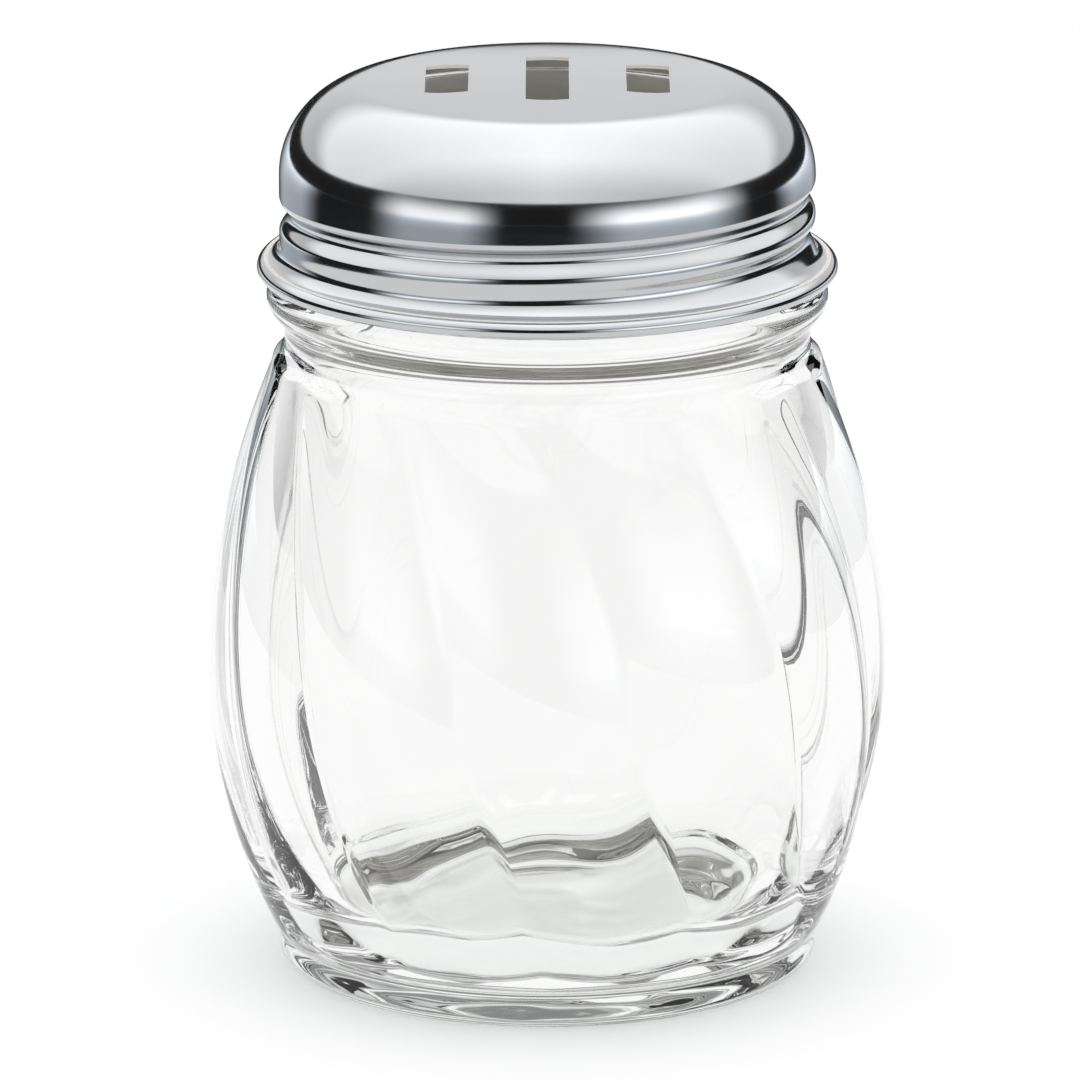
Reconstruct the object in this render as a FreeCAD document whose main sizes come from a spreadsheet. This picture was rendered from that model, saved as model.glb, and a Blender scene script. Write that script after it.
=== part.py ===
import FreeCAD, Part
import Sketcher
import math
import os
import re

# A clear glass shaker jar with twelve swirled lobes, and its slotted chromed screw lid.
# Millimetres, +Z up, the origin at the middle of the face that the jar stands on.
# Angles round the axis are counted from the front (-Y) towards +X.

doc = FreeCAD.newDocument("swirl_shaker")

SIZES = {
    # Glass jar, outside
    "heel_radius": 30.2,
    "heel_height": 4.6,
    "heel_round": 1.8,
    "recess_radius": 23.5,
    "recess_flat": 14.0,
    "recess_depth": 1.2,
    "foot_radius": 30.9,
    "belly_radius": 37.9,
    "belly_height": 34.0,
    "shoulder_radius": 30.5,
    "shoulder_height": 69.3,
    "neck_hollow": 1.2,
    "collar_radius": 30.3,
    "collar_low": 74.6,
    "collar_top": 78.4,
    "collar_rise": 0.85,
    "finish_radius": 27.6,
    "jar_height": 96.1,
    "rim_round": 1.2,
    # Swirled lobes
    "lobe_count": 12,
    "lobe_depth": 1.2,
    "swirl_turn": 34.0,
    "swirl_ease": 0.3,
    "swirl_start": -2.0,
    # Glass jar, inside
    "base_thickness": 5.6,
    "floor_radius": 17.5,
    "wall": 3.0,
    "corner_radius": 29.5,
    "corner_height": 13.5,
    "throat_radius": 26.2,
    "throat_height": 68.0,
    "mouth_radius": 24.6,
    "mouth_height": 77.0,
    # Screw thread, shared by the jar and the lid
    "thread_pitch": 4.233,
    "thread_height": 84.6,
    "thread_rise": 1.3,
    "thread_low": -200.0,
    "thread_high": 200.0,
    # Lid
    "sheet": 0.4,
    "seat_gap": 0.15,
    "thread_slack": 0.4,
    "thread_gap": 0.15,
    "roll_slack": 0.7,
    "roll_round": 1.7,
    "roll_low": -330.0,
    "roll_high": 140.0,
    "dome_corner": 10.3,
    "crown_bend": 320.0,
    "flare_reach": 1.55,
    "hem_roll": 0.95,
    "hem_gap": 0.3,
    "slot_width": 4.76,
    "slot_bow": 0.5,
    "slot_pitch": 11.1,
    "middle_slot": 22.2,
    "side_slot": 14.3,
}

SPARE_CELL = "D1"
LOOP = 2 * math.pi

sheet = doc.addObject("Spreadsheet::Sheet", "sizes")
for row, (name, amount) in enumerate(SIZES.items(), start=1):
    sheet.set(f"A{row}", name)
    sheet.set(f"B{row}", str(amount))
    sheet.setAlias(f"B{row}", name)
doc.recompute()


# Formulas over the named sizes

def size(name):
    return float(sheet.get(name))


def bound(formula):
    """The formula with each named size read from the sheet, as an object's expression."""
    return re.sub(r"[a-z]+(_[a-z]+)+|sheet|wall", lambda word: "sizes." + word.group(0), formula)


def number(formula):
    """What the formula gives now, worked out in a cell that is emptied again."""
    sheet.set(SPARE_CELL, "=" + formula)
    sheet.recompute()
    result = float(sheet.get(SPARE_CELL))
    sheet.clear(SPARE_CELL)
    return result


def bow(start, end, rise):
    """Radius of the arc from start to end that stands off its chord by rise."""
    (x0, z0), (x1, z1) = start, end
    return f"((({x1}) - ({x0}))^2 / 4 + (({z1}) - ({z0}))^2 / 4 + ({rise})^2) / (2 * ({rise}))"


def quarter(narrow, wide, low, high):
    """Radius of the arc that is upright where it is widest and ends at the narrow point."""
    return (f"((({wide}) - ({narrow}))^2 + (({high}) - ({low}))^2)"
            f" / (2 * (({wide}) - ({narrow})))")


# The jar's and the lid's shared places, each worked out once from the sizes above
SKIRT = "(finish_radius + thread_rise + thread_slack + sheet)"
ROLL_LINE = "(finish_radius + roll_slack + roll_round + sheet)"
CORNER_LINE = f"({SKIRT} - dome_corner)"
RIM_LINE = "(finish_radius - rim_round)"
DOME_BASE = (f"(jar_height - rim_round - sqrt((dome_corner - sheet - rim_round - seat_gap)^2"
             f" - ({RIM_LINE} - {CORNER_LINE})^2))")
CROWN_CENTRE = f"({DOME_BASE} - sqrt((crown_bend - dome_corner)^2 - {CORNER_LINE}^2))"
HEM_LINE = f"({SKIRT} + flare_reach)"
HEM_HEIGHT = "(collar_top + hem_gap + hem_roll)"
ROLL_REACH = "(roll_round + sheet + thread_gap)"
ROD_OFFSET = "(roll_slack + roll_round + sheet - thread_rise)"
THREAD_ROUND = (f"(({ROD_OFFSET}^2 + thread_pitch^2 / 4 - {ROLL_REACH}^2)"
                f" / (2 * ({ROLL_REACH} - {ROD_OFFSET})))")


# Sketches, turned and padded forms

def draw(body, plane, outline):
    """A closed sketch of lines and arcs. Each entry is a corner's two formulas and the radius
    of the edge that leaves it: None is straight, and a leading minus bends it inwards."""
    sketch = body.newObject("Sketcher::SketchObject", body.Label + "_outline")
    support = [face for face in body.Origin.OriginFeatures if face.Role == plane]
    sketch.AttachmentSupport = [(support[0], "")]
    sketch.MapMode = "FlatFace"
    corners = [FreeCAD.Vector(number(across), number(up), 0) for across, up, _ in outline]
    starts, ends = [], []
    for place, (across, up, bend) in enumerate(outline):
        start, end = corners[place], corners[(place + 1) % len(corners)]
        if bend is None:
            edge = sketch.addGeometry(Part.LineSegment(start, end), False)
            starts.append((edge, 1))
            ends.append((edge, 2))
            continue
        inwards = bend.startswith("-")
        radius = number(bend.lstrip("-"))
        chord = end - start
        stand = radius - math.sqrt(max(radius**2 - (chord.Length / 2)**2, 0))
        side = FreeCAD.Vector(chord.y, -chord.x, 0).normalize() * (-stand if inwards else stand)
        middle = (start + end) / 2 + side
        arc = Part.Arc(end, middle, start) if inwards else Part.Arc(start, middle, end)
        edge = sketch.addGeometry(arc, False)
        starts.append((edge, 2 if inwards else 1))
        ends.append((edge, 1 if inwards else 2))
        index = sketch.addConstraint(Sketcher.Constraint("Radius", edge, radius))
        sketch.setExpression(f"Constraints[{index}]", bound(bend.lstrip("-")))
    for place, (across, up, _) in enumerate(outline):
        edge, end = starts[place]
        sketch.addConstraint(Sketcher.Constraint("Coincident", *ends[place - 1], edge, end))
        corner = corners[place]
        for kind, axis, formula, now in (("DistanceX", -2, across, corner.x),
                                         ("DistanceY", -1, up, corner.y)):
            if formula == "0":
                sketch.addConstraint(Sketcher.Constraint("PointOnObject", edge, end, axis))
                continue
            index = sketch.addConstraint(Sketcher.Constraint(kind, -1, 1, edge, end, now))
            sketch.setExpression(f"Constraints[{index}]", bound(formula))
    return sketch


def turned(label, outline):
    """A solid of revolution about Z: each corner is a radius and a height, going up outside."""
    body = doc.addObject("PartDesign::Body", label)
    body.Label = label
    sketch = draw(body, "XZ_Plane", outline)
    turning = body.newObject("PartDesign::Revolution", label + "_turning")
    turning.Profile = sketch
    turning.ReferenceAxis = (sketch, ["V_Axis"])
    turning.Angle = 360
    doc.recompute()
    return body


def helical_rod(label, radius, line, middle, low, high):
    """A round rod wound along the right-hand thread. Its height is middle at the front, and it
    runs between two angles from the front, in degrees."""
    turns = f"(({high}) - ({low})) / 360"
    helix = doc.addObject("Part::Helix", label + "_line")
    helix.SegmentLength = 0
    helix.setExpression("Pitch", bound("thread_pitch"))
    helix.setExpression("Height", bound(f"thread_pitch * {turns}"))
    helix.setExpression("Radius", bound(line))
    ring = doc.addObject("Part::Circle", label + "_ring")
    ring.setExpression("Radius", bound(radius))
    ring.setExpression("Placement.Base.x", bound(line))
    ring.Placement.Rotation = FreeCAD.Rotation(FreeCAD.Vector(1, 0, 0), -90)
    rod = doc.addObject("Part::Sweep", label)
    rod.Sections = [ring]
    rod.Spine = (helix, [])
    rod.Solid = True
    rod.Frenet = True
    rod.setExpression("Placement.Base.z", bound(f"{middle} + thread_pitch * ({low}) / 360"))
    rod.setExpression("Placement.Rotation.Angle", bound(f"({low}) * 1 deg - 90 deg"))
    doc.recompute()
    return rod


def combined(kind, label, base, tool):
    result = doc.addObject("Part::" + kind, label)
    result.Label = label
    result.Base = base
    result.Tool = tool
    doc.recompute()
    return result


# Swirled body: a loft of twelve-lobed sections, each turned a little further than the last

def body_radius(height):
    """Radius over the lobes: two arcs that meet upright at the belly."""
    belly, middle = size("belly_radius"), size("belly_height")
    if height < middle:
        bend = number(quarter("foot_radius", "belly_radius", "heel_height", "belly_height"))
    else:
        bend = number(quarter("shoulder_radius", "belly_radius", "belly_height", "shoulder_height"))
    return belly - bend + math.sqrt(bend**2 - (height - middle)**2)


def swirl_section(share):
    """The lobed outline at a share of the way down from the shoulder to the heel."""
    drop = size("shoulder_height") - size("heel_height")
    height = size("shoulder_height") - share * drop
    depth = size("lobe_depth") * (1 - (2 * share - 1)**6)
    eased = share + size("swirl_ease") * math.sin(LOOP * share) / LOOP
    turn = math.radians(size("swirl_start") + size("swirl_turn") * eased)
    radius = body_radius(height)
    count = int(size("lobe_count"))

    def point(step, reach):
        angle = turn + LOOP * step / count
        return FreeCAD.Vector(reach * math.sin(angle), -reach * math.cos(angle), height)

    edges = []
    for lobe in range(count):
        groove, crest, next_groove = (lobe, radius - depth), (lobe + 0.5, radius), (lobe + 1, radius - depth)
        edges.append(Part.Arc(point(*groove), point(*crest), point(*next_groove)).toShape())
    return Part.Wire(edges)


SECTIONS = 14
swirl = doc.addObject("Part::Feature", "swirl_body")
swirl.Shape = Part.makeLoft([swirl_section(step / SECTIONS) for step in range(SECTIONS, -1, -1)], True, False)

# Heel, core, neck, collar and finish of the jar, turned in one outline
neck_start, neck_end = ("shoulder_radius", "shoulder_height"), ("collar_radius", "collar_low")
collar_end = ("collar_radius", "collar_top")
RECESS_BEND = "((recess_radius - recess_flat)^2 + recess_depth^2) / (2 * recess_depth)"
jar_core = turned("jar_core", [
    ("0", "recess_depth", None),
    ("recess_flat", "recess_depth", "-" + RECESS_BEND),
    ("recess_radius", "0", None),
    ("heel_radius - heel_round", "0", "heel_round"),
    ("heel_radius", "heel_round", None),
    ("heel_radius", "heel_height", None),
    ("finish_radius", "heel_height", None),
    ("finish_radius", "shoulder_height", None),
    ("shoulder_radius", "shoulder_height", "-" + bow(neck_start, neck_end, "neck_hollow")),
    ("collar_radius", "collar_low", bow(neck_end, collar_end, "collar_rise")),
    ("collar_radius", "collar_top", None),
    ("finish_radius", "collar_top", None),
    ("finish_radius", "jar_height - rim_round", "rim_round"),
    (RIM_LINE, "jar_height", None),
    ("0", "jar_height", None),
])

# Hollow of the jar, from the thick base to the rounded mouth
INNER_BELLY = "(belly_radius - lobe_depth - wall)"
CORNER_BEND = ("((corner_radius - floor_radius)^2 + (corner_height - base_thickness)^2)"
               " / (2 * (corner_height - base_thickness))")
jar_hollow = turned("jar_hollow", [
    ("0", "base_thickness", None),
    ("floor_radius", "base_thickness", CORNER_BEND),
    ("corner_radius", "corner_height",
     quarter("corner_radius", INNER_BELLY, "corner_height", "belly_height")),
    (INNER_BELLY, "belly_height", quarter("throat_radius", INNER_BELLY, "belly_height", "throat_height")),
    ("throat_radius", "throat_height", None),
    ("mouth_radius", "mouth_height", None),
    ("mouth_radius", "jar_height - rim_round", "-rim_round"),
    ("mouth_radius + rim_round", "jar_height", None),
    ("mouth_radius + rim_round", "jar_height + rim_round", None),
    ("0", "jar_height + rim_round", None),
])

# Screw thread of the glass: a round ridge whose flanks clear the lid's rolled thread
glass_thread = helical_rod("glass_thread", THREAD_ROUND,
                           f"(finish_radius + thread_rise - {THREAD_ROUND})",
                           "thread_height", "thread_low", "thread_high")
jar_outside = combined("Fuse", "jar_outside", swirl, jar_core)
jar_threaded = combined("Fuse", "jar_threaded", jar_outside, glass_thread)
glass_jar = combined("Cut", "glass_jar", jar_threaded, jar_hollow)


# Lid: one stamped sheet, whose two faces follow the same path set in by different depths

def lid_path(inset):
    """Corners of a lid surface from the end of the hem's roll up to the middle of the crown."""
    crown, roll = f"(crown_bend - ({inset}))", f"(hem_roll - ({inset}))"
    out = f"{CORNER_LINE} / (crown_bend - dome_corner)"
    up = f"({DOME_BASE} - {CROWN_CENTRE}) / (crown_bend - dome_corner)"
    return [
        (f"{HEM_LINE} - {roll}", HEM_HEIGHT, roll),
        (HEM_LINE, f"{HEM_HEIGHT} - {roll}", roll),
        (f"{HEM_LINE} + {roll}", HEM_HEIGHT, roll),
        (HEM_LINE, f"{HEM_HEIGHT} + {roll}", f"-(flare_reach + ({inset}))"),
        (f"{SKIRT} - ({inset})", f"({HEM_HEIGHT} + hem_roll + flare_reach)", None),
        (f"{SKIRT} - ({inset})", DOME_BASE, f"(dome_corner - ({inset}))"),
        (f"{crown} * {out}", f"{CROWN_CENTRE} + {crown} * {up}", crown),
        ("0", f"{CROWN_CENTRE} + {crown}", None),
    ]


def back_again(path):
    """The same path from its last corner to its first, so every bend turns the other way."""
    bends = [bend for _, _, bend in path[:-1]]
    turned_bends = [None if bend is None else bend[1:] if bend[0] == "-" else "-" + bend for bend in bends]
    places = [(across, up) for across, up, _ in path]
    return [(*place, bend) for place, bend in zip(reversed(places), list(reversed(turned_bends)) + [None])]


def slot(label, across, length):
    """A straight-sided slot tool with slightly bowed ends, standing through the crown."""
    body = doc.addObject("PartDesign::Body", label)
    body.Label = label
    half_width, half_length = "slot_width / 2", f"(({length}) / 2 - slot_bow)"
    left, right = f"{across} - {half_width}", f"{across} + {half_width}"
    bend = bow(("0", "0"), ("slot_width", "0"), "slot_bow")
    sketch = draw(body, "XY_Plane", [
        (left, f"0 - {half_length}", bend),
        (right, f"0 - {half_length}", None),
        (right, half_length, bend),
        (left, half_length, None),
    ])
    pad = body.newObject("PartDesign::Pad", label + "_pad")
    pad.Profile = sketch
    pad.setExpression("Length", bound(f"{CROWN_CENTRE} + crown_bend + sheet"))
    doc.recompute()
    return body


lid_sheet = turned("lid_sheet", lid_path("0") + back_again(lid_path("sheet")))
lid_middle = turned("lid_middle", lid_path("sheet / 2")[3:] + [
    ("0", HEM_HEIGHT, None),
    (HEM_LINE, HEM_HEIGHT, None),
])

# Rolled thread: a groove outside, and the ridge that it raises inside
ROLL_MIDDLE = "thread_height + thread_pitch / 2"
ridge_rod = helical_rod("ridge_rod", "(roll_round + sheet)", ROLL_LINE, ROLL_MIDDLE, "roll_low", "roll_high")
groove_rod = helical_rod("groove_rod", "roll_round", ROLL_LINE, ROLL_MIDDLE, "roll_low", "roll_high")
lid_ridge = combined("Common", "lid_ridge", ridge_rod, lid_middle)
lid_ridged = combined("Fuse", "lid_ridged", lid_sheet, lid_ridge)
lid_rolled = combined("Cut", "lid_rolled", lid_ridged, groove_rod)

# Three pouring slots through the crown, the middle one longer
slots = doc.addObject("Part::MultiFuse", "slots")
slots.Shapes = [slot("left_slot", "(0 - slot_pitch)", "side_slot"),
                slot("middle_slot_tool", "0", "middle_slot"),
                slot("right_slot", "slot_pitch", "side_slot")]
doc.recompute()
slotted_lid = combined("Cut", "slotted_lid", lid_rolled, slots)

# Every object has to stand before anything is written
for item in doc.Objects:
    if {"Invalid", "Error"} & set(item.State):
        raise RuntimeError(f"{item.Label} failed: {item.State}")
os.makedirs("parts", exist_ok=True)
for piece in (glass_jar, slotted_lid):
    if piece.Shape.isNull() or not piece.Shape.isValid() or len(piece.Shape.Solids) != 1:
        raise RuntimeError(f"{piece.Label} is not one valid solid")
    piece.Shape.exportStep(f"parts/{piece.Label}.step")
    print(piece.Label, "volume", round(piece.Shape.Volume), "box", piece.Shape.BoundBox)
print("hollow below the rim", round(jar_hollow.Shape.Volume / 1000), "ml")
print("gap between the pieces", round(glass_jar.Shape.distToShape(slotted_lid.Shape)[0], 3))
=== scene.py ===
import math

import bmesh
import bpy
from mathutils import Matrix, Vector


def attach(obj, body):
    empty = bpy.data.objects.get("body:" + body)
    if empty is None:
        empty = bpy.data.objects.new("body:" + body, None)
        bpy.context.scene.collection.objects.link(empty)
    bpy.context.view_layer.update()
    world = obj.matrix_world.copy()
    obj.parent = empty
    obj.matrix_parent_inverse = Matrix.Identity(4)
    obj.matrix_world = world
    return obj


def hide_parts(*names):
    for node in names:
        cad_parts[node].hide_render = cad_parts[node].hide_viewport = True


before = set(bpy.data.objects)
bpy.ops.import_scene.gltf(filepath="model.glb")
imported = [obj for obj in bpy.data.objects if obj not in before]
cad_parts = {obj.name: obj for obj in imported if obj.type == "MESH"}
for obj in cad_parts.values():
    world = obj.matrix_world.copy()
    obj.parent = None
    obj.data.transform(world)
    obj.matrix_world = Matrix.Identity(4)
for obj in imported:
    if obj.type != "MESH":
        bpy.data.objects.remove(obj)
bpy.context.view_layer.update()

# Glass jar. A jar of clear soda-lime glass, blown in a mould: its twelve rounded lobes swirl 34
# degrees round it between the shoulder and the heel. A thick base, an even wall, a rounded
# collar and a finish with about one turn of thread complete it.

MM = 0.001
FULL_TURN = 2 * math.pi
DEGREES = 180 / math.pi
QUARTER_BULGE = 1 - math.sqrt(0.5)
LOBES = 12
COLUMNS = LOBES * 20
PUSH_UP, PUSH_UP_FLAT, PUSH_UP_EDGE = 1.2, 14, 23.5
HEEL_RADIUS, HEEL_TOP, HEEL_ROUND, HEEL_STEP = 30.2, 4.6, 1.8, 0.5
BODY_LOW, CLOSE_BELOW, CLOSE_ABOVE = 4.95, 8, 62
FOOT_RADIUS, BELLY_RADIUS, BELLY_HEIGHT = 30.9, 37.9, 34.0
SHOULDER_RADIUS, SHOULDER_HEIGHT = 30.5, 69.3
COLLAR_RADIUS, COLLAR_LOW, COLLAR_TOP = 30.3, 74.6, 78.4
NECK_HOLLOW, COLLAR_BULGE, CORNER_HOLLOW = -1.2, 0.85, -2.15
FINISH_RADIUS, FINISH_FILLET, PLAIN_FINISH = 27.6, 0.6, 90.5
JAR_HEIGHT, RIM_ROUND = 96.1, 1.2
INNER_BELLY, FLOOR_RADIUS, FLOOR_HEIGHT = 33.7, 17.5, 5.6
CORNER_RADIUS, CORNER_HEIGHT = 29.5, 13.5
THROAT_RADIUS, THROAT_HEIGHT = 26.2, 68.0
MOUTH_RADIUS, MOUTH_HEIGHT, MOUTH_BLEND, MOUTH_EASE = 24.6, 77.0, 2, 0.35
THREAD_PITCH, THREAD_HEIGHT = 4.233, 84.6
SHOULDER_FADE, HEEL_FADE, WAVY_HEIGHT = 6.0, 3.0, 22.0
SHARP_ANGLE = math.radians(38)


def run(start, end, steps, bulge=0.0):
    """Points from start up to but without end. A bulge bends the run to the right of the way
    that it goes, by that much at its middle."""
    (r0, z0), (r1, z1) = start, end
    length = math.hypot(r1 - r0, z1 - z0)
    across = Vector(((z1 - z0) / length, -(r1 - r0) / length))
    bend = (length**2 / 4 + bulge**2) / (2 * bulge) if bulge else 0
    points = []
    for step in range(steps):
        along = step / steps
        lift = 0.0
        if bulge:
            offset = (along - 0.5) * length
            lift = math.copysign(math.sqrt(bend**2 - offset**2), bend) - bend + bulge
        points.append((r0 + along * (r1 - r0) + lift * across.x,
                       z0 + along * (z1 - z0) + lift * across.y))
    return points


def swelling(narrow, wide, narrow_height, wide_height, heights):
    """Points on the arc that is upright where it is widest and passes through its narrow end."""
    bend = ((wide - narrow)**2 + (wide_height - narrow_height)**2) / (2 * (wide - narrow))
    return [(wide - bend + math.sqrt(bend**2 - (height - wide_height)**2), height) for height in heights]


def spread(low, high, steps):
    """Evenly spaced heights from low up to but without high."""
    return [low + (high - low) * step / steps for step in range(steps)]


def piece_from(name, shape):
    """Puts a finished bmesh in the scene as an object of that name and frees it."""
    mesh = bpy.data.meshes.new(name)
    shape.to_mesh(mesh)
    shape.free()
    piece = bpy.data.objects.new(name, mesh)
    bpy.context.scene.collection.objects.link(piece)
    return piece


def lathe(name, outline, closed=False):
    """A skin turned about Z from (radius, height) pairs in millimetres. A radius of 0 is a pole."""
    shape = bmesh.new()
    rings = []
    for radius, height in outline:
        count = COLUMNS if radius else 1
        rings.append([shape.verts.new((radius * MM * math.sin(FULL_TURN * column / COLUMNS),
                                       -radius * MM * math.cos(FULL_TURN * column / COLUMNS),
                                       height * MM)) for column in range(count)])
    pairs = list(zip(rings, rings[1:])) + ([(rings[-1], rings[0])] if closed else [])
    for ring, after in pairs:
        if len(ring) == len(after) == 1:
            continue
        for column in range(COLUMNS):
            side = (column + 1) % COLUMNS
            corners = [ring[column % len(ring)], ring[side % len(ring)],
                       after[side % len(after)], after[column % len(after)]]
            shape.faces.new(list(dict.fromkeys(corners)))
    bmesh.ops.recalc_face_normals(shape, faces=shape.faces)
    return piece_from(name, shape)


class Value:
    """A socket's number, so that sums on it are written as Python sums and become Math nodes."""

    def __init__(self, nodes, socket):
        self.nodes, self.socket = nodes, socket

    def maths(self, operation, *values):
        sockets = dict(enumerate(values))
        return self.nodes.add("ShaderNodeMath", {"operation": operation}, sockets)

    def __add__(self, other):
        return self.maths("ADD", self, other)

    def __sub__(self, other):
        return self.maths("SUBTRACT", self, other)

    def __rsub__(self, other):
        return self.maths("SUBTRACT", other, self)

    def __mul__(self, other):
        return self.maths("MULTIPLY", self, other)

    def __truediv__(self, other):
        return self.maths("DIVIDE", self, other)

    def __pow__(self, other):
        return self.maths("POWER", self, other)

    def sine(self):
        return self.maths("SINE", self)

    def cosine(self):
        return self.maths("COSINE", self)

    def fraction(self):
        return self.maths("FRACT", self)

    def root(self):
        return self.maths("SQRT", self)

    def size(self):
        return self.maths("ABSOLUTE", self)

    def held(self):
        """The number kept between 0 and 1."""
        return self.maths("MINIMUM", self.maths("MAXIMUM", self, 0.0), 1.0)

    __radd__, __rmul__ = __add__, __mul__


class Nodes:
    """A node tree under construction."""

    def __init__(self, tree):
        self.tree = tree
        tree.nodes.clear()

    def add(self, kind, settings, sockets, output=0):
        """A new node, as the value of one of its outputs. Sockets go by name or by number."""
        node = self.tree.nodes.new(kind)
        for name, setting in settings.items():
            if name == "stops":
                for stop, (place, colour) in zip(self.stops(node, len(setting)), setting):
                    stop.position, stop.color = place, colour
            else:
                setattr(node, name, setting)
        for name, value in sockets.items():
            if isinstance(value, Value):
                self.tree.links.new(value.socket, node.inputs[name])
            else:
                node.inputs[name].default_value = value
        return Value(self, node.outputs[output]) if node.outputs else None

    @staticmethod
    def stops(node, count):
        while len(node.color_ramp.elements) < count:
            node.color_ramp.elements.new(0.5)
        return node.color_ramp.elements


def blank_material(name):
    """A new material and its node tree, still empty."""
    material = bpy.data.materials.new(name)
    material.use_nodes = True
    return material, Nodes(material.node_tree)


def heading_of(x, y):
    """The angle from the front of a point or a direction, in degrees."""
    return x.maths("ARCTAN2", x, y * -1) * DEGREES


def shaping(name, sizes):
    """A Geometry Nodes tree with a named input for each size, and its number inputs as values."""
    tree = bpy.data.node_groups.new(name, "GeometryNodeTree")
    nodes = Nodes(tree)
    tree.interface.new_socket("Geometry", in_out="INPUT", socket_type="NodeSocketGeometry")
    tree.interface.new_socket("Geometry", in_out="OUTPUT", socket_type="NodeSocketGeometry")
    for size in sizes:
        tree.interface.new_socket(size, in_out="INPUT", socket_type="NodeSocketFloat")
    group = tree.nodes.new("NodeGroupInput")
    return nodes, {socket.name: Value(nodes, socket) for socket in group.outputs if socket.name}


def around(nodes):
    """A point's distance from the axis, its angle from the front in degrees, and its height."""
    place = nodes.add("GeometryNodeInputPosition", {}, {})
    x, y, z = (nodes.add("ShaderNodeSeparateXYZ", {}, {0: place}, axis) for axis in range(3))
    return (x * x + y * y).root() / MM, heading_of(x, y), z / MM


def settle(nodes, geometry, radius, angle, height, material):
    """Moves each point to a new radius in millimetres and a new angle in degrees."""
    turn = angle * math.radians(1)
    place = nodes.add("ShaderNodeCombineXYZ", {}, {0: radius * turn.sine() * MM,
                                                  1: radius * turn.cosine() * -MM, 2: height * MM})
    moved = nodes.add("GeometryNodeSetPosition", {}, {"Geometry": geometry, "Position": place})
    real = nodes.add("GeometryNodeRealizeInstances", {}, {"Geometry": moved})
    coated = nodes.add("GeometryNodeSetMaterial", {}, {"Geometry": real, "Material": material})
    out = nodes.tree.nodes.new("NodeGroupOutput")
    nodes.tree.links.new(coated.socket, out.inputs[0])


def shape_by(piece, nodes, sizes):
    """Puts the tree on the piece and gives each of its named inputs a size."""
    modifier = piece.modifiers.new(nodes.tree.name, "NODES")
    modifier.node_group = nodes.tree
    for item in nodes.tree.interface.items_tree:
        if item.in_out == "INPUT" and item.name in sizes:
            modifier[item.identifier] = sizes[item.name]


def finished(piece):
    """Replaces a piece's modifiers by the plain mesh that they make, with smooth faces."""
    drawn = piece.evaluated_get(bpy.context.evaluated_depsgraph_get())
    mesh = bpy.data.meshes.new_from_object(drawn)
    piece.modifiers.clear()
    piece.data = mesh
    mesh.polygons.foreach_set("use_smooth", [True] * len(mesh.polygons))
    mesh.set_sharp_from_angle(angle=SHARP_ANGLE)


def wound(height, angle, sizes, turns):
    """For each turn of a thread: how far a point is from its middle, in half widths, and how
    fully the thread stands there, from 0 past its ends to 1."""
    strands = []
    for turn in turns:
        along = angle + 360.0 * turn
        middle = sizes["Thread height"] + sizes["Pitch"] * along / 360.0
        off = ((height - middle) / sizes["Half width"]).size().held()
        start = ((along - sizes["Starts at"]) / sizes["Run in"]).held()
        stop = ((sizes["Ends at"] - along) / sizes["Run out"]).held()
        strands.append((off, start * stop))
    return strands


glass, nodes = blank_material("clear_glass")
place = nodes.add("ShaderNodeTexCoord", {}, {}, "Object")
height = nodes.add("ShaderNodeSeparateXYZ", {}, {0: place}, 2) / (FLOOR_HEIGHT * MM)
tint = nodes.add("ShaderNodeValToRGB", {"stops": [
    (0.0, (0.90, 0.93, 0.905, 1)), (0.8, (0.94, 0.955, 0.94, 1)),
    (1.0, (0.976, 0.98, 0.974, 1))]}, {0: height})
ripple = nodes.add("ShaderNodeTexNoise", {}, {"Vector": place, "Scale": 55.0, "Detail": 1.0})
handled = nodes.add("ShaderNodeTexNoise", {}, {"Vector": place, "Scale": 120.0, "Detail": 4.0})
surface = nodes.add("ShaderNodeBump", {}, {"Strength": 0.12, "Distance": 0.0004, "Height": ripple})
clear = nodes.add("ShaderNodeBsdfPrincipled", {}, {
    "Base Color": tint, "Roughness": (handled - 0.55).held() * 0.12, "Normal": surface,
    "IOR": 1.5, "Transmission Weight": 1.0})
shading = nodes.add("ShaderNodeLightPath", {}, {}, "Is Shadow Ray")
through = nodes.add("ShaderNodeBsdfTransparent", {}, {0: (0.92, 0.93, 0.94, 1)})
mixed = nodes.add("ShaderNodeMixShader", {}, {0: shading, 1: clear, 2: through})
nodes.add("ShaderNodeOutputMaterial", {}, {"Surface": mixed})

outside = (
    run((0, PUSH_UP), (PUSH_UP_FLAT, PUSH_UP), 4)
    + run((PUSH_UP_FLAT, PUSH_UP), (PUSH_UP_EDGE, 0), 6, -0.3)
    + run((PUSH_UP_EDGE, 0), (HEEL_RADIUS - HEEL_ROUND, 0), 3)
    + run((HEEL_RADIUS - HEEL_ROUND, 0), (HEEL_RADIUS, HEEL_ROUND), 6, HEEL_ROUND * QUARTER_BULGE)
    + run((HEEL_RADIUS, HEEL_ROUND), (HEEL_RADIUS, HEEL_TOP - HEEL_STEP), 4)
    + run((HEEL_RADIUS, HEEL_TOP - HEEL_STEP), (FOOT_RADIUS - 0.1, HEEL_TOP), 4, -0.12)
)
body_start = len(outside)
outside += swelling(FOOT_RADIUS, BELLY_RADIUS, HEEL_TOP, BELLY_HEIGHT,
                    spread(BODY_LOW, CLOSE_BELOW, 6) + spread(CLOSE_BELOW, BELLY_HEIGHT, 20))
outside += swelling(SHOULDER_RADIUS, BELLY_RADIUS, SHOULDER_HEIGHT, BELLY_HEIGHT,
                    spread(BELLY_HEIGHT, CLOSE_ABOVE, 20) + spread(CLOSE_ABOVE, SHOULDER_HEIGHT, 12))
body_end = len(outside)
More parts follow.
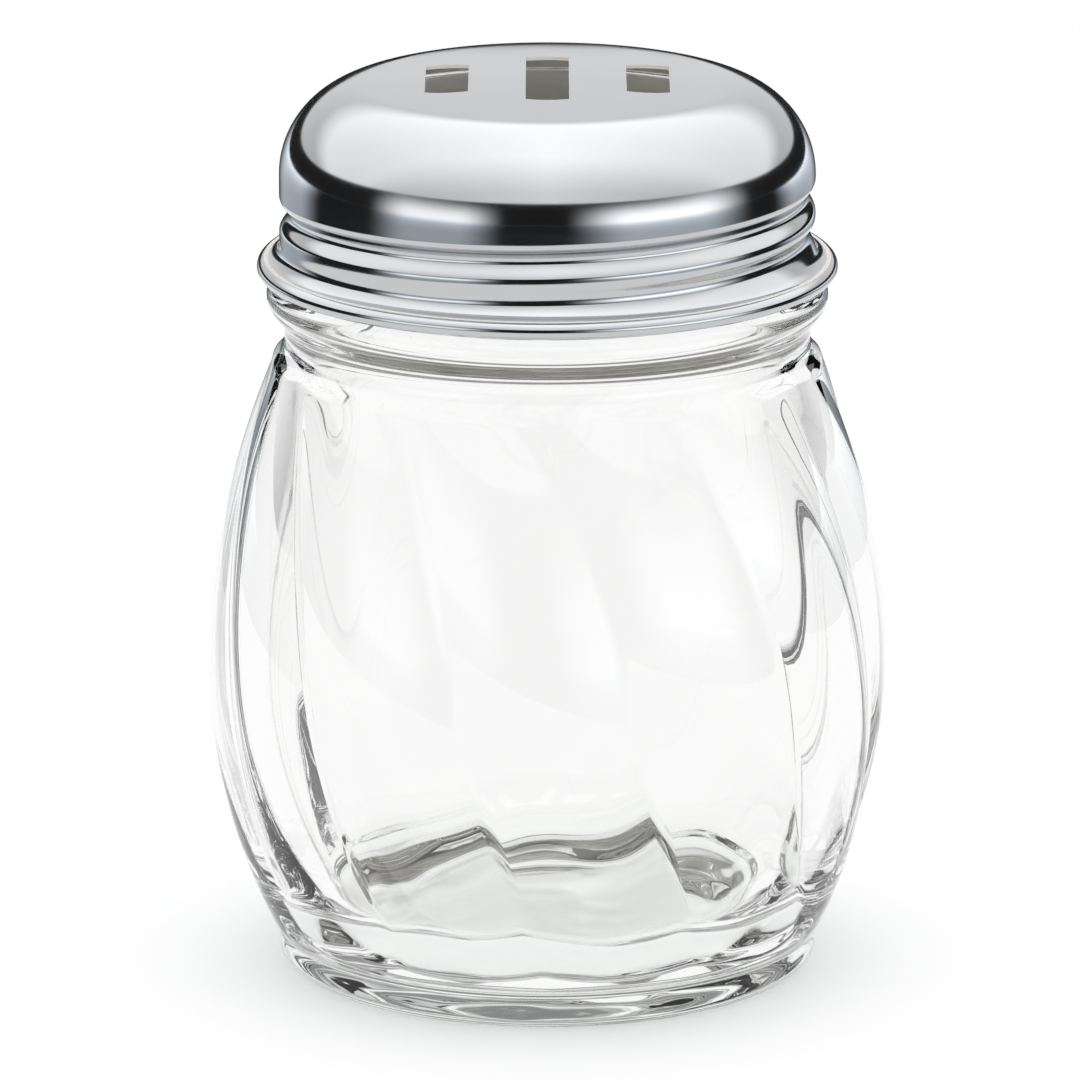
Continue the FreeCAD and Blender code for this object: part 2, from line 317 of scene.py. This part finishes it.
outside += run((SHOULDER_RADIUS, SHOULDER_HEIGHT), (COLLAR_RADIUS, COLLAR_LOW), 12, NECK_HOLLOW)
outside += run((COLLAR_RADIUS, COLLAR_LOW), (COLLAR_RADIUS, COLLAR_TOP), 10, COLLAR_BULGE)
outside += run((COLLAR_RADIUS, COLLAR_TOP), (FINISH_RADIUS + FINISH_FILLET, COLLAR_TOP), 3)
outside += run((FINISH_RADIUS + FINISH_FILLET, COLLAR_TOP),
               (FINISH_RADIUS, COLLAR_TOP + FINISH_FILLET), 4, -0.17)
finish_start = len(outside)
outside += run((FINISH_RADIUS, COLLAR_TOP + FINISH_FILLET), (FINISH_RADIUS, PLAIN_FINISH), 56)
finish_end = len(outside)
outside += run((FINISH_RADIUS, PLAIN_FINISH), (FINISH_RADIUS, JAR_HEIGHT - RIM_ROUND), 4)
round_over = RIM_ROUND * QUARTER_BULGE
outside += run((FINISH_RADIUS, JAR_HEIGHT - RIM_ROUND),
               (FINISH_RADIUS - RIM_ROUND, JAR_HEIGHT), 6, round_over)
outside += run((FINISH_RADIUS - RIM_ROUND, JAR_HEIGHT), (MOUTH_RADIUS + RIM_ROUND, JAR_HEIGHT), 2)
outside += run((MOUTH_RADIUS + RIM_ROUND, JAR_HEIGHT), (MOUTH_RADIUS, JAR_HEIGHT - RIM_ROUND), 6, round_over)
outside += run((MOUTH_RADIUS, JAR_HEIGHT - RIM_ROUND), (MOUTH_RADIUS, MOUTH_HEIGHT + MOUTH_BLEND), 8)
outside += run((MOUTH_RADIUS, MOUTH_HEIGHT + MOUTH_BLEND),
               (MOUTH_RADIUS + MOUTH_EASE, MOUTH_HEIGHT - MOUTH_BLEND), 6, 0.1)
outside += run((MOUTH_RADIUS + MOUTH_EASE, MOUTH_HEIGHT - MOUTH_BLEND),
               (THROAT_RADIUS + 0.1, THROAT_HEIGHT - 0.6), 8, 0.3)
blown_start = len(outside)
outside += swelling(THROAT_RADIUS, INNER_BELLY, THROAT_HEIGHT, BELLY_HEIGHT,
                    spread(THROAT_HEIGHT - 1.6, BELLY_HEIGHT, 22))
outside += swelling(CORNER_RADIUS, INNER_BELLY, CORNER_HEIGHT, BELLY_HEIGHT,
                    spread(BELLY_HEIGHT, CORNER_HEIGHT + 0.8, 14))
outside += run((CORNER_RADIUS, CORNER_HEIGHT), (FLOOR_RADIUS, FLOOR_HEIGHT), 16, CORNER_HOLLOW)
outside += run((FLOOR_RADIUS, FLOOR_HEIGHT), (0, FLOOR_HEIGHT), 12) + [(0, FLOOR_HEIGHT)]

jar = lathe("swirled_glass", outside)
for name, first, last in (("lobed", body_start, body_end), ("threaded", finish_start, finish_end),
                          ("blown", blown_start, len(outside) - 3)):
    marks = jar.data.attributes.new(name, "FLOAT", "POINT")
    values = [0.0] * len(jar.data.vertices)
    for vertex in range(1 + (first - 1) * COLUMNS, 1 + (last - 1) * COLUMNS):
        values[vertex] = 1.0
    marks.data.foreach_set("value", values)

jar_sizes = {"Lobes": LOBES, "Lobe depth": 1.2, "Swirl start": -2.0, "Swirl turn": 34.0, "Swirl ease": 0.3,
             "Heel height": HEEL_TOP, "Shoulder height": SHOULDER_HEIGHT, "Thread height": THREAD_HEIGHT,
             "Pitch": THREAD_PITCH, "Half width": 1.1, "Thread rise": 1.3, "Starts at": -200.0,
             "Ends at": 200.0, "Run in": 25.0, "Run out": 25.0, "Inner lobe depth": 0.7, "Unevenness": 1.4}
nodes, sizes = shaping("swirl the lobes", jar_sizes)
radius, angle, height = around(nodes)
share = ((sizes["Shoulder height"] - height) / (sizes["Shoulder height"] - sizes["Heel height"])).held()
eased = share + sizes["Swirl ease"] * (share * FULL_TURN).sine() / FULL_TURN
swirled = angle + sizes["Swirl start"] + sizes["Swirl turn"] * eased
fade = (share * 2.0 - 1.0).size() ** (SHOULDER_FADE - share * (SHOULDER_FADE - HEEL_FADE))
depth = sizes["Lobe depth"] * (1.0 - fade)
# The small shift keeps a column that stands on a crease from falling to either side by rounding.
phase = (angle * sizes["Lobes"] / 360.0 + 0.0005).fraction() * 2.0 - 1.0
lobed = nodes.add("GeometryNodeInputNamedAttribute", {}, {"Name": "lobed"})
threaded = nodes.add("GeometryNodeInputNamedAttribute", {}, {"Name": "threaded"})
blown = nodes.add("GeometryNodeInputNamedAttribute", {}, {"Name": "blown"})
lump = nodes.add("ShaderNodeTexNoise", {}, {"Scale": 75.0, "Detail": 0.5}) - 0.5
low = (1.0 - (height - FLOOR_HEIGHT) / WAVY_HEIGHT).held()
follows = sizes["Inner lobe depth"] * (0.5 - (phase * math.pi).cosine() * 0.5) * (0.6 + low * 0.4)
uneven = sizes["Unevenness"] * lump * low
ridge = sum((1.0 - off * off).root() * stands
            for off, stands in wound(height, swirled, sizes, (-1, 0, 1)))
radius = (radius - depth * lobed * phase * phase + sizes["Thread rise"] * threaded * ridge
          - blown * (follows * (radius / FLOOR_RADIUS).held() + uneven * 0.6))
settle(nodes, sizes["Geometry"], radius, swirled, height + blown * uneven, glass)
shape_by(jar, nodes, jar_sizes)
finished(jar)
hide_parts("glass_jar")
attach(jar, "jar")

# Slotted lid. A cap stamped from thin steel sheet and plated with polished chrome: its thread is
# rolled into the skirt as a soft winding groove, its hem is curled outwards for stiffness, and
# three straight slots are punched through the nearly flat crown.

SHEET = 0.4
SKIRT_RADIUS, DOME_BASE, DOME_CORNER, CROWN_BEND = 29.7, 89.985, 10.3, 320.0
HEM_LINE, HEM_HEIGHT, HEM_ROLL, FLARE_REACH = 31.25, 79.65, 0.95, 1.55
SLOT_PITCH, SLOT_WIDTH, SLOT_BOW = 11.1, 4.76, 0.5
MIDDLE_SLOT, SIDE_SLOT = 22.2, 14.3
PUNCH_LOW, PUNCH_HIGH, LID_INSIDE = 98.5, 103.0, 85.0
CORNER_LINE = SKIRT_RADIUS - DOME_CORNER
CROWN_CENTRE = DOME_BASE - math.sqrt((CROWN_BEND - DOME_CORNER)**2 - CORNER_LINE**2)
CROWN_LEAN = math.asin(CORNER_LINE / (CROWN_BEND - DOME_CORNER))


def arc(middle, radius, first, last, steps):
    """Points on an arc from one angle above the horizontal to another, in degrees."""
    turns = [math.radians(first + (last - first) * step / steps) for step in range(steps + 1)]
    return [(middle[0] + radius * math.cos(turn), middle[1] + radius * math.sin(turn)) for turn in turns]


def lid_face(inset):
    """One face of the sheet, from the end of the curled hem up to the middle of the crown."""
    lean = 90 - math.degrees(CROWN_LEAN)
    flare_top = HEM_HEIGHT + HEM_ROLL + FLARE_REACH
    crown = arc((0, CROWN_CENTRE), CROWN_BEND - inset, lean, 90, 14)
    return (arc((HEM_LINE, HEM_HEIGHT), HEM_ROLL - inset, -180, 90, 24)
            + arc((HEM_LINE, flare_top), FLARE_REACH + inset, -90, -180, 9)[1:-1]
            + run((SKIRT_RADIUS - inset, flare_top), (SKIRT_RADIUS - inset, DOME_BASE), 44)
            + arc((CORNER_LINE, DOME_BASE), DOME_CORNER - inset, 0, lean, 26)[:-1]
            + crown[:-1] + [(0, crown[-1][1])])


chrome, nodes = blank_material("polished_chrome")
place = nodes.add("ShaderNodeTexCoord", {}, {}, "Object")
wear = nodes.add("ShaderNodeTexNoise", {}, {"Vector": place, "Scale": 90.0, "Detail": 5.0, "Roughness": 0.6})
stretched = nodes.add("ShaderNodeMapping", {}, {"Vector": place, "Scale": (1.0, 1.0, 14.0)})
marks = nodes.add("ShaderNodeTexNoise", {}, {"Vector": stretched, "Scale": 160.0, "Detail": 2.0})
dents = nodes.add("ShaderNodeTexNoise", {}, {"Vector": place, "Scale": 70.0, "Detail": 1.0})
plate = nodes.add("ShaderNodeMix", {"data_type": "RGBA"}, {
    0: (wear - 0.35).held(), 6: (0.56, 0.57, 0.585, 1), 7: (0.52, 0.53, 0.545, 1)}, 2)
surface = nodes.add("ShaderNodeBump", {}, {"Strength": 0.1, "Distance": 0.0003, "Height": dents})
metal = nodes.add("ShaderNodeBsdfPrincipled", {}, {
    "Base Color": plate, "Metallic": 1.0, "Roughness": wear * 0.08 + marks * 0.05 + 0.03, "Normal": surface})
nodes.add("ShaderNodeOutputMaterial", {}, {"Surface": metal})

dull, nodes = blank_material("bare_steel_inside")
place = nodes.add("ShaderNodeTexCoord", {}, {}, "Object")
stain = nodes.add("ShaderNodeTexNoise", {}, {"Vector": place, "Scale": 60.0, "Detail": 4.0})
steel = nodes.add("ShaderNodeMix", {"data_type": "RGBA"}, {
    0: stain, 6: (0.84, 0.80, 0.74, 1), 7: (0.74, 0.705, 0.65, 1)}, 2)
metal = nodes.add("ShaderNodeBsdfPrincipled", {}, {
    "Base Color": steel, "Metallic": 0.0, "Roughness": stain * 0.2 + 0.55})
nodes.add("ShaderNodeOutputMaterial", {}, {"Surface": metal})

lid = lathe("chromed_lid", lid_face(0) + lid_face(SHEET)[::-1], closed=True)
lid_sizes = {"Thread height": THREAD_HEIGHT + THREAD_PITCH / 2, "Pitch": THREAD_PITCH, "Half width": 2.0,
             "Groove depth": 1.0, "Starts at": -440.0, "Run in": 210.0, "Ends at": 145.0, "Run out": 60.0}
nodes, sizes = shaping("roll the thread", lid_sizes)
radius, angle, height = around(nodes)
groove = sum(((off * math.pi).cosine() * 0.5 + 0.5) * stands
             for off, stands in wound(height, angle, sizes, (-1, 0)))
settle(nodes, sizes["Geometry"], radius - sizes["Groove depth"] * groove, angle, height, chrome)
shape_by(lid, nodes, lid_sizes)

cutter_shape = bmesh.new()
for across, length in ((-SLOT_PITCH, SIDE_SLOT), (0, MIDDLE_SLOT), (SLOT_PITCH, SIDE_SLOT)):
    half, side = SLOT_WIDTH / 2, length / 2 - SLOT_BOW
    outline = (run((-half, -side), (half, -side), 10, SLOT_BOW) + [(half, -side)]
               + run((half, side), (-half, side), 10, SLOT_BOW) + [(-half, side)])
    low, high = ([cutter_shape.verts.new(((across + x) * MM, y * MM, z * MM)) for x, y in outline]
                 for z in (PUNCH_LOW, PUNCH_HIGH))
    cutter_shape.faces.new(low)
    cutter_shape.faces.new(high)
    for corner in range(len(outline)):
        cutter_shape.faces.new((low[corner - 1], low[corner], high[corner], high[corner - 1]))
bmesh.ops.recalc_face_normals(cutter_shape, faces=cutter_shape.faces)
cutter = piece_from("slot_punch", cutter_shape)
punch = lid.modifiers.new("punch", "BOOLEAN")
punch.object, punch.operation, punch.solver = cutter, "DIFFERENCE", "EXACT"
finished(lid)
bpy.data.objects.remove(cutter)
lid.data.materials.append(dull)
inside = Vector((0, 0, LID_INSIDE * MM))
for face in lid.data.polygons:
    face.material_index = 1 if face.normal.dot(face.center - inside) < 0 else 0
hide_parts("slotted_lid")
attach(lid, "lid")

# Studio. The object stands on a white sweep in a white surround, under a large soft box and with
# two smaller ones in front. Reflections see a half sphere and a dark table painted with the studio's
# light and shade, and rays through the glass see that half sphere. The camera sees neither, and they light
# nothing.

SWEEP_REACH, SWEEP_LEVEL = 6.0, -0.0001
ROOM_RADIUS, ROOM_LOW = 2.0, 0.002
TABLE_REACH, TABLE_HEIGHT, TABLE_SIDES = 0.30, 0.001, 96
SHADE_REACH, BACK_START, BACK_FADE = 0.028, 0.024, 0.006
PAINTED_LIGHT_NEAR, PAINTED_LIGHT_NEAR_IN_GLASS, PAINTED_LIGHT_BEHIND = 0.35, 0.5, 0.4
CANOPY_TILT, CANOPY_EDGE, CANOPY_FADE = 0.15, 0.29, 0.012
SIDE_BOXES = ((-49.0, 32.0, 1.8), (52.0, 45.0, 2.2))
REAR_BOXES = ((-140.0, 30.0, 2.0), (140.0, 30.0, 2.0))
BOX_RISE, BOX_REACH = 3.0, 24.0
ROOM_DARK, TABLE_DARK, TABLE_FADE = 0.018, 0.02, 1.2
CANOPY_FRONT, CANOPY_FULL, CANOPY_BACK, CANOPY_SIDE = 1.25, 1.7, 0.53, 0.7
CLEAR_WHITE, SIDE_GREY, BACK_DROP, TOP_RETURN = 0.95, 0.58, 0.75, 0.5
TABLE_NEAR, TABLE_FAR = 0.25, 0.75


def rays(nodes, *names):
    """1 for rays of the named kinds, else 0."""
    return sum(nodes.add("ShaderNodeLightPath", {}, {}, f"Is {name} Ray") for name in names).held()


def ramp(value, start, width):
    """0 up to the start, then rising evenly to 1 over the width."""
    return ((value - start) / width).held()


def hill(value, middle, reach):
    """1 at the middle, falling evenly to 0 at the reach to either side."""
    return 1.0 - ((value - middle) / reach).size()


def between(low, high, share):
    """Low where the share is 0, high where it is 1."""
    return share * (high - low) + low


def eased_in_out(share):
    return share * share * (3.0 - share * 2.0)


def painted_box_glow(heading, middle, reach):
    """How much of a painted soft box glow lies in a direction, from its middle and reach in degrees."""
    return eased_in_out((hill(heading, middle, reach) * 1.5).held())


sweep, nodes = blank_material("white_sweep")
place = nodes.add("ShaderNodeTexCoord", {}, {}, "Object")
away = nodes.add("ShaderNodeVectorMath", {"operation": "LENGTH"}, {0: place}, "Value")
# The paper's own shading, with its soft shadow, shows close to the object, under painted white light
# that lightens the shadow, more so as seen through the glass. Further off it gives way to plain
# white, and a little behind the object, as seen through the glass, a painted pool of light turns it white.
beyond = ramp(away, SHADE_REACH, SHADE_REACH)
paper = nodes.add("ShaderNodeBsdfDiffuse", {}, {0: (0.93, 0.935, 0.94, 1)})
white = nodes.add("ShaderNodeEmission", {}, {0: (1, 1, 1, 1), 1: 1.0})
back = ramp(nodes.add("ShaderNodeSeparateXYZ", {}, {0: place}, "Y"), BACK_START, BACK_FADE)
# Painted light: white mixed over the paper's shadow, and a painted pool of light behind the object.
in_glass = (between(PAINTED_LIGHT_NEAR_IN_GLASS, 1.0, beyond) + back * PAINTED_LIGHT_BEHIND).held()
plain = (rays(nodes, "Camera", "Glossy") * between(PAINTED_LIGHT_NEAR, 1.0, beyond)
         + rays(nodes, "Transmission") * in_glass).held()
mixed = nodes.add("ShaderNodeMixShader", {}, {0: plain, 1: paper, 2: white})
nodes.add("ShaderNodeOutputMaterial", {}, {"Surface": mixed})
floor_shape = bmesh.new()
floor_shape.faces.new([floor_shape.verts.new((x * SWEEP_REACH, y * SWEEP_REACH, SWEEP_LEVEL))
                       for x, y in ((-1, -1), (1, -1), (1, 1), (-1, 1))])
floor = piece_from("floor", floor_shape)
floor.data.materials.append(sweep)

painted_room_reflection, nodes = blank_material("painted_room_reflection")
place = nodes.add("ShaderNodeTexCoord", {}, {}, "Object")
way = nodes.add("ShaderNodeVectorMath", {"operation": "NORMALIZE"}, {0: place})
x, y, z = (nodes.add("ShaderNodeSeparateXYZ", {}, {0: way}, axis) for axis in range(3))
canopy = ramp(z + y * CANOPY_TILT, CANOPY_EDGE, CANOPY_FADE)
over = z.maths("ARCTAN2", z, y * -1) / math.pi
glow = nodes.add("ShaderNodeValToRGB", {"stops": [
    (0.2, (0.86, 0.87, 0.88, 1)), (0.42, (1.0, 1.0, 1.0, 1)), (0.6, (1.0, 1.0, 1.0, 1))]}, {0: over})
# As reflections see it, all painted light and shade: the canopy, weaker at its front edge, its back
# and its sides, above a dark room in which painted highlights of the two boxes in front glow.
lit = (between(CANOPY_FRONT, CANOPY_FULL, ramp(over, 0.22, 0.25))
       * between(1.0, CANOPY_BACK, ramp(over, 0.79, 0.07)) * between(1.0, CANOPY_SIDE, x.size()))
heading = heading_of(x, y)
rise = z.maths("ARCSINE", z) * DEGREES
level = hill(rise, BOX_RISE, BOX_REACH).held()
dark = ROOM_DARK
for middle, reach, strength in SIDE_BOXES:
    dark = dark + painted_box_glow(heading, middle, reach) * eased_in_out(level) * strength
mirrored = canopy * lit + (1.0 - canopy) * dark
# As rays through the glass see it, a painted view: white, but painted shade makes it grey at the two
# rear sides and darker at the back above its foot.
rear = ramp(heading.size(), 110.0, 30.0)
side = hill(heading.size(), 122.0, 34.0).held()
dimmed = rear * (ramp(rise, 10.0, 8.0) * BACK_DROP - ramp(rise, 42.0, 16.0) * TOP_RETURN)
behind = (1.0 - dimmed) * between(CLEAR_WHITE, SIDE_GREY, side)
through = rays(nodes, "Transmission")
shown = nodes.add("ShaderNodeEmission", {}, {0: glow, 1: mirrored * (1.0 - through) + behind * through})
nodes.add("ShaderNodeOutputMaterial", {}, {"Surface": shown})
room_shape = bmesh.new()
bmesh.ops.create_uvsphere(room_shape, u_segments=96, v_segments=48, radius=ROOM_RADIUS)
bmesh.ops.bisect_plane(room_shape, geom=room_shape.verts[:] + room_shape.edges[:] + room_shape.faces[:],
                       plane_co=(0, 0, ROOM_LOW), plane_no=(0, 0, 1), clear_inner=True)
room = piece_from("room", room_shape)
room.data.materials.append(painted_room_reflection)

painted_table_reflection, nodes = blank_material("painted_table_reflection")
place = nodes.add("ShaderNodeTexCoord", {}, {}, "Object")
x, y = (nodes.add("ShaderNodeSeparateXYZ", {}, {0: place}, axis) for axis in range(2))
heading = heading_of(x, y)
away = nodes.add("ShaderNodeVectorMath", {"operation": "LENGTH"}, {0: place}, "Value")
# Painted reflection: a dark table with painted glow from the soft boxes at its sides and rear.
far = ramp(away, TABLE_REACH, TABLE_FADE)
dark = TABLE_DARK
for middle, reach, strength in SIDE_BOXES + REAR_BOXES:
    dark = dark + painted_box_glow(heading, middle, reach) * strength * between(TABLE_NEAR, TABLE_FAR, far)
shown = nodes.add("ShaderNodeEmission", {}, {0: (0.86, 0.93, 1.0, 1), 1: dark})
nodes.add("ShaderNodeOutputMaterial", {}, {"Surface": shown})
table_shape = bmesh.new()
turns = [FULL_TURN * step / TABLE_SIDES for step in range(TABLE_SIDES)]
near, outer = ([table_shape.verts.new((reach * math.sin(turn), -reach * math.cos(turn), TABLE_HEIGHT))
                for turn in turns] for reach in (TABLE_REACH, ROOM_RADIUS))
for step in range(TABLE_SIDES):
    table_shape.faces.new((near[step - 1], outer[step - 1], outer[step], near[step]))
table = piece_from("table", table_shape)
table.data.materials.append(painted_table_reflection)
for piece in (room, table):
    piece.visible_camera = piece.visible_diffuse = piece.visible_shadow = False
table.visible_transmission = False

world = bpy.data.worlds.new("studio")
bpy.context.scene.world = world
world.use_nodes = True
nodes = Nodes(world.node_tree)
seen = rays(nodes, "Camera", "Glossy", "Transmission")
surround = nodes.add("ShaderNodeBackground", {}, {0: (1, 1, 1, 1), 1: seen * 0.5 + 0.5})
nodes.add("ShaderNodeOutputWorld", {}, {"Surface": surround})

for name, place, aim, width, height, power in (
        ("box_above", (0.0, 0.1, 1.3), (0, 0, 0.05), 1.2, 1.2, 12.0),
        ("box_left", (-0.85, -0.85, 0.45), (0, 0, 0.06), 0.5, 0.6, 3.0),
        ("box_right", (1.0, -0.6, 0.45), (0, 0, 0.06), 0.6, 0.6, 4.0)):
    light = bpy.data.lights.new(name, "AREA")
    light.shape, light.size, light.size_y, light.energy = "RECTANGLE", width, height, power
    holder = bpy.data.objects.new(name, light)
    holder.location = place
    holder.rotation_euler = (Vector(aim) - Vector(place)).to_track_quat("-Z", "Y").to_euler()
    holder.visible_glossy = holder.visible_transmission = False
    bpy.context.scene.collection.objects.link(holder)

# Camera, a little above the lid and straight in front, with a long lens

LOOK_AT = Vector((0, 0, 0.05))
DISTANCE, ELEVATION = 1.108, math.radians(15)
camera_data = bpy.data.cameras.new("camera")
camera_data.sensor_width, camera_data.lens = 36.0, 330.7
camera_data.shift_x, camera_data.shift_y = -0.0068, -0.0169
camera_data.clip_start, camera_data.clip_end = 0.05, 20.0
camera = bpy.data.objects.new("camera", camera_data)
camera.location = LOOK_AT + DISTANCE * Vector((0, -math.cos(ELEVATION), math.sin(ELEVATION)))
camera.rotation_euler = (LOOK_AT - camera.location).to_track_quat("-Z", "Y").to_euler()
bpy.context.scene.collection.objects.link(camera)
bpy.context.scene.camera = camera
bpy.context.scene.view_settings.view_transform = "Standard"
bpy.context.scene.cycles.max_bounces = 24
bpy.context.scene.cycles.transmission_bounces = 24
bpy.context.scene.cycles.glossy_bounces = 12
